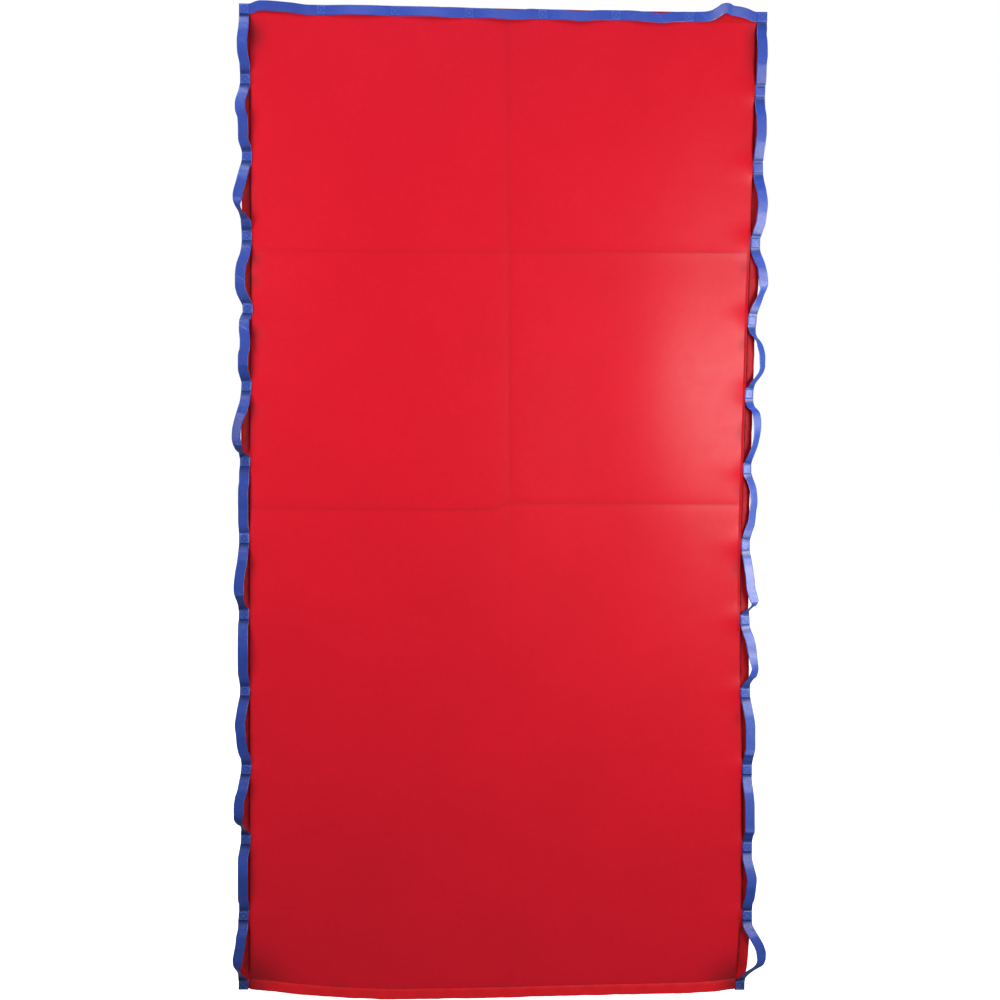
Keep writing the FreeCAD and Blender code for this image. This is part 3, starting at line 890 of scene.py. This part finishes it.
def side_tacks(panel, materials):
    """The tacked squares of both side straps on one panel."""
    patch = Patch()
    for side, sign in SIDES.items():
        for number, drop in enumerate(TACKS[side]):
            if panel_at(drop) != f"panel_{panel}":
                continue
            drop = np.array(drop, float)
            _, _, turn = margin(side, drop)
            outside = tack_offset(side, number)
            middle = np.array([sign * (STRAP_X + outside), float(strap_level(side, drop)), -float(drop)])
            across = np.array([sign * math.cos(turn), math.sin(turn), 0])
            lean = tack_lean(side, number)
            along = np.array([sign * lean, 0, -1])
            along = along / np.linalg.norm(along)
            patch.add(middle, across, along, float(drop), LAST_TACK_PAINTED_SHADE if number == SIDE_LOOPS else 0.0)
    piece = patch.piece(f"strap_tacks_panel_{panel}", materials)
    settle(piece, f"panel_{panel}", f"side_tacks_{panel}")


def loop_end(side, number, end):
    """The offset of a loop's middle line at one of its ends."""
    _, outside, _ = loop_line(LOOPS[side][number - 1], 60)
    return outside[end]


def tack_offset(side, number):
    """A tack's offset outwards: between the ends of the loops that it joins."""
    ends = []
    if number > 0:
        ends.append(loop_end(side, number, -1))
    if number < SIDE_LOOPS:
        ends.append(loop_end(side, number + 1, 0))
    return sum(ends) / len(ends)


def tack_lean(side, number):
    """How far a tack's strap leans outwards on its way down."""
    if not 0 < number < SIDE_LOOPS:
        return 0.0
    return (loop_end(side, number + 1, 0) - loop_end(side, number, -1)) / STRAP_WIDTH


def top_tacks(materials):
    patch = Patch()
    for number in range(TOP_LOOPS + 1):
        x = top_tack_x(number)
        corner = number in (0, TOP_LOOPS)
        if corner:
            side = "left" if number == 0 else "right"
            level = float(strap_level(side, np.array(10.0))) - STRAP_HALF * 2
            above = TOP_LOOP_EDGES[0][0][1] if side == "left" else TOP_LOOP_EDGES[-1][-1][1]
        else:
            above = TOP_LOOP_EDGES[number][0][1]
            level = float(relief(np.array(x), np.array(STRAP_WIDTH / 2))) - HEM_HALF - STRAP_HALF
        middle = np.array([x, level, -STRAP_WIDTH / 2 + above])
        patch.add(middle, np.array([0, 0, 1.0]), np.array([1.0, 0, 0]), x)
    settle(patch.piece("strap_tacks_top", materials), "panel_1", "top_tacks")


# ---- materials ----

# In metres: the cloth's threads, the strap's ribs and the columns that break them, and the thread's twist.
WEAVE_PITCH, RIB_PITCH, COLUMN_PITCH, TWIST_PITCH = 0.0009, 0.0016, 0.0021, 0.0008


class Nodes:
    """A material's nodes, with short ways to add and join them."""

    def __init__(self, name):
        self.material = bpy.data.materials.new(name)
        self.material.use_nodes = True
        self.tree = self.material.node_tree
        self.shader = self.tree.nodes["Principled BSDF"]

    def add(self, kind, values=None, **settings):
        node = self.tree.nodes.new(f"ShaderNode{kind}")
        for key, value in settings.items():
            setattr(node, key, value)
        for key, value in (values or {}).items():
            if hasattr(value, "is_output"):
                self.tree.links.new(value, node.inputs[key])
            else:
                node.inputs[key].default_value = value
        return node

    def join(self, output, name):
        self.tree.links.new(output, self.shader.inputs[name])

    def set(self, values):
        """Values that are the same all over go on the shader's own sockets."""
        for name, value in values.items():
            self.shader.inputs[name].default_value = value

    def attribute(self, name, output="Fac"):
        return self.add("Attribute", attribute_name=name).outputs[output]

    def wave(self, value, pitch):
        """A sine along a length, both in metres."""
        return self.math("SINE", self.math("MULTIPLY", value, 2 * math.pi / pitch))

    def math(self, operation, a, b=0.0, c=0.0):
        return self.add("Math", {0: a, 1: b, 2: c}, operation=operation).outputs[0]

    def mix(self, factor, a, b):
        return self.add("Mix", {0: factor, 6: a, 7: b}, data_type="RGBA").outputs[2]

    def noise(self, vector, scale, detail=3.0, roughness=0.55):
        values = {"Vector": vector, "Scale": scale, "Detail": detail, "Roughness": roughness}
        return self.add("TexNoise", values).outputs["Fac"]

    def stretch(self, vector, scale):
        return self.add("VectorMath", {0: vector, 1: scale}, operation="MULTIPLY").outputs[0]

    def steps(self, value, stops):
        names = ("From Min", "From Max", "To Min", "To Max")
        return self.add("MapRange", {"Value": value, **dict(zip(names, stops))}).outputs[0]

    def bumps(self, *layers):
        """The shader's normal: layers of (height, strength, distance in metres), each on top of the one before."""
        surface = {}
        for height, strength, distance in layers:
            values = {"Height": height, "Strength": strength, "Distance": distance, **surface}
            surface = {"Normal": self.add("Bump", values).outputs[0]}
        self.join(surface["Normal"], "Normal")


def tint(colour, factor, more=0):
    return [min(1, c * factor + more) for c in colour[:3]] + [1]


def coated_cloth(name, red, deep, roughness, gloss):
    """Red coated nylon: a fine plain weave under a coat, softly crumpled, and darkened by painted shade, where it
    is also rougher, along creases, beside the stitches and in the lower corners."""
    n = Nodes(name)
    cloth = n.attribute("cloth", "Vector")
    shade = n.attribute("shade")
    patchy = n.noise(cloth, 5.0, 4.0)
    mottled = n.noise(cloth, 90.0, 3.0)
    colour = n.mix(n.steps(patchy, (0.3, 0.7, 0.0, 1.0)), red, tint(red, 0.93))
    colour = n.mix(n.steps(mottled, (0.35, 0.65, 0.0, 0.10)), colour, tint(red, 1.25, 0.004))
    # Painted shade: the colour is mixed towards the deep red by the shade attribute.
    colour = n.mix(shade, colour, deep)
    n.join(colour, "Base Color")
    x, y, _ = n.add("SeparateXYZ", {0: cloth}).outputs
    weave = n.math("MULTIPLY", n.wave(x, WEAVE_PITCH), n.wave(y, WEAVE_PITCH))
    crumple = n.noise(cloth, 16.0, 3.0, 0.5)
    fine = n.noise(n.stretch(cloth, (1.0, 0.6, 1.0)), 130.0, 3.0, 0.6)
    n.bumps((crumple, 0.07, 0.004), (fine, 0.22, 0.0006), (weave, 0.18, 0.00008))
    rough = n.steps(n.noise(cloth, 28.0, 4.0), (0.3, 0.7, roughness - 0.015, roughness + 0.02))
    n.join(n.math("ADD", rough, n.math("MULTIPLY", shade, 0.12)), "Roughness")
    n.set({"Specular IOR Level": gloss, "Sheen Weight": 0.02, "Sheen Roughness": 0.5,
           "Sheen Tint": (1.0, 0.55, 0.65, 1)})
    return n.material


def webbing(name, blue, pale):
    """Blue polyester webbing: ribs across the strap, each broken into the picks of its weave, a tight edge, a
    little fuzz, painted shade near the tacks and a painted highlight along each crease."""
    n = Nodes(name)
    cloth = n.attribute("cloth", "Vector")
    across, along, _ = n.add("SeparateXYZ", {0: cloth}).outputs
    rib = n.wave(along, RIB_PITCH)
    pick = n.math("MULTIPLY", rib, n.wave(across, COLUMN_PITCH))
    height = n.math("ADD", n.math("MULTIPLY", rib, 0.6), n.math("MULTIPLY", pick, 0.5))
    speckle = n.noise(n.stretch(cloth, (1.0, 1.6, 1.0)), 620.0, 2.0, 0.6)
    cloudy = n.noise(cloth, 60.0, 3.0)
    colour = n.mix(n.steps(speckle, (0.36, 0.68, 0.0, 0.5)), blue, pale)
    colour = n.mix(n.steps(cloudy, (0.35, 0.7, 0.0, 0.22)), colour, tint(blue, 0.72))
    edge = n.steps(n.math("ABSOLUTE", across), (0.0088, 0.0094, 0.0, 0.45))
    colour = n.mix(edge, colour, tint(blue, 0.6))
    # Painted shade: the strap is darkened near its tacks.
    shade = n.attribute("shade")
    colour = n.mix(n.math("MULTIPLY", shade, 0.75), colour, tint(blue, 0.4))
    # Painted highlight: a pale line along the ridge of each crease of the strap.
    crease = n.attribute("crease")
    ridge = n.steps(n.math("ABSOLUTE", crease), (0.0003, 0.0016, 1.0, 0.0))
    colour = n.mix(n.math("MULTIPLY", ridge, 0.4), colour, tint(pale, 2.0))
    n.join(colour, "Base Color")
    n.bumps((cloudy, 0.25, 0.0015), (ridge, 0.6, 0.0006), (speckle, 0.25, 0.0003), (height, 0.35, 0.0002))
    n.join(n.steps(speckle, (0.3, 0.7, 0.33, 0.47)), "Roughness")
    n.set({"Specular IOR Level": 0.42, "Sheen Weight": 0.01, "Sheen Roughness": 0.4,
           "Sheen Tint": (0.55, 0.7, 1.0, 1)})
    return n.material


def thread(name, colour):
    """Twisted sewing thread."""
    n = Nodes(name)
    cloth = n.attribute("cloth", "Vector")
    x, y, z = n.add("SeparateXYZ", {0: cloth}).outputs
    twist = n.wave(n.math("ADD", x, n.math("ADD", y, z)), TWIST_PITCH)
    speckle = n.noise(cloth, 300.0, 2.0)
    n.join(n.mix(n.steps(speckle, (0.3, 0.7, 0.0, 0.6)), colour, tint(colour, 0.6)), "Base Color")
    n.bumps((twist, 0.5, 0.0001))
    n.join(n.steps(speckle, (0.3, 0.7, 0.45, 0.6)), "Roughness")
    n.set({"Specular IOR Level": 0.3})
    return n.material


RED = [0.67, 0.005, 0.019, 1]
# The deep reds are what painted shade mixes the cloth's colour towards.
DEEP_RED = [0.15, 0.003, 0.006, 1]
# The bottom hem's red is the cloth's red made brighter, as painted light; the other hems' red is it made darker, as
# painted shade.
LIT_FOOT_RED = [0.80, 0.010, 0.020, 1]
SHADED_HEM_RED = [0.58, 0.005, 0.012, 1]
HEM_DEEP = [0.10, 0.003, 0.005, 1]
BLUE = [0.006, 0.024, 0.17, 1]
PALE_BLUE = [0.016, 0.055, 0.27, 1]
CLOTH = coated_cloth("coated_cloth", RED, DEEP_RED, 0.35, 0.2)
HEM_CLOTH = coated_cloth("hem_cloth", SHADED_HEM_RED, HEM_DEEP, 0.45, 0.15)
FOOT_CLOTH = coated_cloth("foot_cloth", LIT_FOOT_RED, HEM_DEEP, 0.45, 0.2)
WEB = webbing("webbing", BLUE, PALE_BLUE)
RED_THREAD = thread("red_thread", [0.36, 0.008, 0.014, 1])
BLUE_THREAD = thread("blue_thread", [0.07, 0.15, 0.45, 1])


# ---- the pieces ----

top_hem_piece = top_hem([HEM_CLOTH, RED_THREAD])
settle(top_hem_piece, "panel_1", "top_hem")

bottom_hem_piece = bottom_hem([FOOT_CLOTH, RED_THREAD])
settle(bottom_hem_piece, "panel_4", "bottom_hem")

# The sheet and its side hems are one cloth in three stretches, which meet halfway down the second and third
# panels, so that each stretch crosses one crease.
HEM_TOP = {"left": 3.4, "right": 0.8}
STRETCHES = ("upper", "middle", "lower")
JOINS = [0.0, (HINGES[0] + HINGES[1]) / 2, (HINGES[1] + HINGES[2]) / 2, CORNER_DROP]
LAST = len(STRETCHES) - 1
SHEET_PAST_STITCH = 15


def replaced(stem, index):
    """The CAD nodes that a stretch stands for: the last one has two."""
    return [f"{stem}_{panel}" for panel in range(index + 1, index + (3 if index == LAST else 2))]


for index, stretch in enumerate(STRETCHES):
    top, foot = JOINS[index], JOINS[index + 1]
    panels = (f"panel_{index + 1}", f"panel_{index + 2}")
    for side in SIDES:
        hem_top = HEM_TOP[side] if index == 0 else top
        hem = side_hem(side, f"{side}_hem_{stretch}", hem_top, foot, [HEM_CLOTH, RED_THREAD])
        across_crease(hem, *panels, index)
        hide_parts(*replaced(f"{side}_hem", index))
    sheet_top = STRAP_WIDTH if index == 0 else top
    sheet_foot = CORNER_DROP - HEM_HEIGHT + SHEET_PAST_STITCH if index == LAST else foot
    piece = cloth_sheet(f"sheet_{stretch}", sheet_top, sheet_foot, CLOTH)
    across_crease(piece, *panels, index)
    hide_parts(*replaced("sheet_panel", index))

for side in SIDES:
    for number in range(1, SIDE_LOOPS + 1):
        side_loop(side, number, WEB)
for number in range(1, TOP_LOOPS + 1):
    top_loop(number, WEB)
for panel in range(1, 5):
    side_tacks(panel, [WEB, BLUE_THREAD])
top_tacks([WEB, BLUE_THREAD])


# ---- stage, light and camera ----

FLOOR_Z, FLOOR_HALF = -2.035, 14.0
WORLD_LIGHT = 0.32
# Each light: its place, its target, its width and height, its power, its colour, and whether it falls on the strap
# alone.
LIGHTS = {
    "right": ((1.0, -1.45, -0.78), (0.7, 0, -0.85), (0.45, 0.3), 20, (1.0, 0.93, 0.93), False),
    "left": ((-1.4, -0.95, -0.55), (-0.6, 0, -0.6), (0.6, 0.6), 13, (1.0, 0.93, 1.0), False),
    "top": ((-0.1, -1.05, 0.85), (-0.1, 0, 0.0), (0.7, 0.7), 6, (1.0, 0.92, 1.5), False),
    "behind": ((0.3, 2.8, 1.4), (0, 0, -0.9), (2.4, 2.4), 60, (1, 1, 1), False),
    "rim": ((1.45, -0.85, -0.85), (0.52, 0, -0.85), (0.8, 0.6), 52, (1.0, 0.95, 0.85), True),
    "crown": ((-1.3, -0.9, 1.9), (-0.5, 0, -0.8), (0.5, 0.5), 95, (0.85, 0.95, 1.1), True),
}


def stage_floor():
    """A plain pale floor that gives off light, and that the object neither reflects nor takes light from."""
    size, z = FLOOR_HALF, FLOOR_Z
    mesh = bpy.data.meshes.new("floor")
    mesh.from_pydata([(-size, -size, z), (size, -size, z), (size, size, z), (-size, size, z)], [], [(0, 1, 2, 3)])
    floor = place("floor", mesh)
    n = Nodes("pale_floor")
    n.set({"Base Color": (0.86, 0.86, 0.86, 1), "Roughness": 0.7, "Emission Color": (1, 1, 1, 1),
           "Emission Strength": 1.0})
    mesh.materials.append(n.material)
    floor.visible_diffuse = False
    floor.visible_glossy = False


def lighting():
    """Soft lights close in front at the right, the left and above, one behind, and two for the strap alone: one at
    the far right and one high on the left."""
    straps = bpy.data.collections.new("straps")
    for piece in bpy.context.scene.objects:
        if piece.name.startswith("strap_"):
            straps.objects.link(piece)
    for name, (spot, target, size, power, colour, straps_only) in LIGHTS.items():
        light = bpy.data.lights.new(name, "AREA")
        light.shape = "RECTANGLE"
        light.size, light.size_y = size
        light.energy, light.color = power, colour
        lamp = place(name, light)
        lamp.location = spot
        lamp.rotation_mode = "QUATERNION"
        lamp.rotation_quaternion = (Vector(target) - Vector(spot)).to_track_quat("-Z", "Y")
        lamp.visible_camera = False
        if straps_only:
            lamp.light_linking.receiver_collection = straps


def world():
    """White where the camera sees it, and dimmer as a light."""
    studio = bpy.data.worlds.new("studio")
    bpy.context.scene.world = studio
    studio.use_nodes = True
    tree = studio.node_tree
    dim = tree.nodes["Background"]
    path, mix, seen = [tree.nodes.new(f"ShaderNode{kind}") for kind in ("LightPath", "MixShader", "Background")]
    for node, strength in ((dim, WORLD_LIGHT), (seen, 1.0)):
        node.inputs["Color"].default_value = (1, 1, 1, 1)
        node.inputs["Strength"].default_value = strength
    for i, output in enumerate((path.outputs["Is Camera Ray"], dim.outputs[0], seen.outputs[0])):
        tree.links.new(output, mix.inputs[i])
    tree.links.new(mix.outputs[0], tree.nodes["World Output"].inputs["Surface"])


def camera():
    """The camera stands a little left of the middle and a little above it, and is rolled by under a degree."""
    distance, azimuth, elevation, roll = 4.5, math.radians(-3.13), math.radians(4.10), math.radians(0.708)
    target = Vector((0.0003, 0, -0.9755))
    back = Vector((math.sin(azimuth) * math.cos(elevation), -math.cos(azimuth) * math.cos(elevation),
                   math.sin(elevation)))
    right = Vector((math.cos(azimuth), math.sin(azimuth), 0))
    up = back.cross(right)
    rolled_right = right * math.cos(roll) + up * math.sin(roll)
    rolled_up = up * math.cos(roll) - right * math.sin(roll)
    data = bpy.data.cameras.new("camera")
    data.lens = 80.685
    data.sensor_width = 36
    axes = Matrix((rolled_right, rolled_up, back)).transposed().to_4x4()
    axes.translation = target + back * distance
    eye = place("camera", data)
    eye.matrix_world = axes
    bpy.context.scene.camera = eye


stage_floor()
lighting()
world()
camera()
bpy.context.scene.view_settings.view_transform = "Standard"
